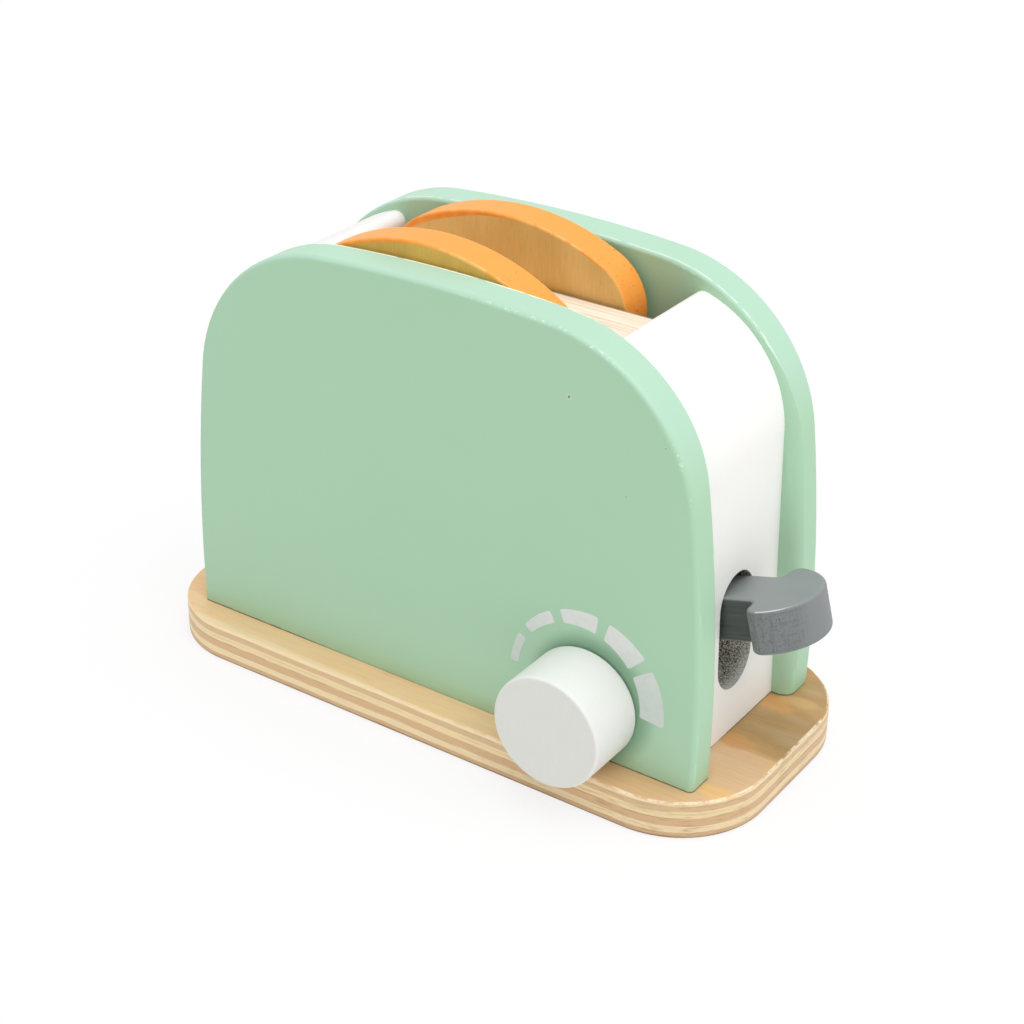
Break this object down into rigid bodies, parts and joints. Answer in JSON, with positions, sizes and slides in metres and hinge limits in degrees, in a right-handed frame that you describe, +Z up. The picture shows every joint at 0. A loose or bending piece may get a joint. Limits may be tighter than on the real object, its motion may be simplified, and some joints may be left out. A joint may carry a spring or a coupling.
{
  "type": "toy toaster",
  "caption": "Wooden toy toaster with lift-out bread slices, a see-saw side lever that raises them on a tray, and a turning knob.",
  "frame": {"origin": "centre of the base board's underside, on the surface that the toy stands on", "axes": "+X along the length towards the lever, -Y out of the panel with the knob, +Z up"},
  "size_m": [0.1434, 0.0676, 0.0984],
  "materials": {
    "plywood": "clear-lacquered plywood with its plies showing on the edge",
    "green_paint": "satin pale green paint on wood, softened edges",
    "white_paint": "satin white paint on wood",
    "grey_paint": "thin grey paint on plywood, grain showing on the cut edge",
    "pine": "bare planed pine with long growth lines",
    "beech": "bare turned hardwood",
    "toast_wood": "bare wood faces with an orange painted rim",
    "steel": "bright zinc-plated steel"
  },
  "bodies": {
    "toaster_body": {"base_board": "plywood", "front_panel": "green_paint", "rear_panel": "green_paint", "left_end_block": "white_paint", "right_end_block": "white_paint", "centre_divider": "pine", "divider_dowels": "beech", "panel_dowels": "beech", "base_screws": "steel", "front_tray_rail": "pine", "rear_tray_rail": "pine", "pivot_pin": "steel", "pivot_spacers": "beech"},
    "lever_arm": {"lever": "grey_paint", "lift_bar": "beech", "lift_bar_pegs": "beech"},
    "tray": {"toast_tray": "pine"},
    "front_slice": {"toast_front": "toast_wood"},
    "rear_slice": {"toast_rear": "toast_wood"},
    "dial": {"knob": "white_paint", "knob_washer": "steel", "knob_screw": "steel"}
  },
  "joints": [
    {"name": "lever_rock", "type": "hinge", "parent": "toaster_body", "child": "lever_arm", "pos_m": [0.0289, 0, 0.0284], "axis": [0, 1, 0], "range_deg": [0, 21.6]},
    {"name": "tray_rise", "type": "slide", "parent": "toaster_body", "child": "tray", "axis": [0, 0, 1], "range_m": [0, 0.0127]},
    {"name": "front_slice_pull", "type": "slide", "parent": "tray", "child": "front_slice", "axis": [0, 0, 1], "range_m": [0, 0.06]},
    {"name": "rear_slice_pull", "type": "slide", "parent": "tray", "child": "rear_slice", "axis": [0, 0, 1], "range_m": [0, 0.06]},
    {"name": "knob_turn", "type": "hinge", "parent": "toaster_body", "child": "dial", "pos_m": [0.0369, -0.0235, 0.02], "axis": [0, -1, 0], "continuous": true}
  ],
  "couplings": [
    {"joint": "tray_rise", "follows": "lever_rock", "m_per_rad": 0.0335}
  ]
}
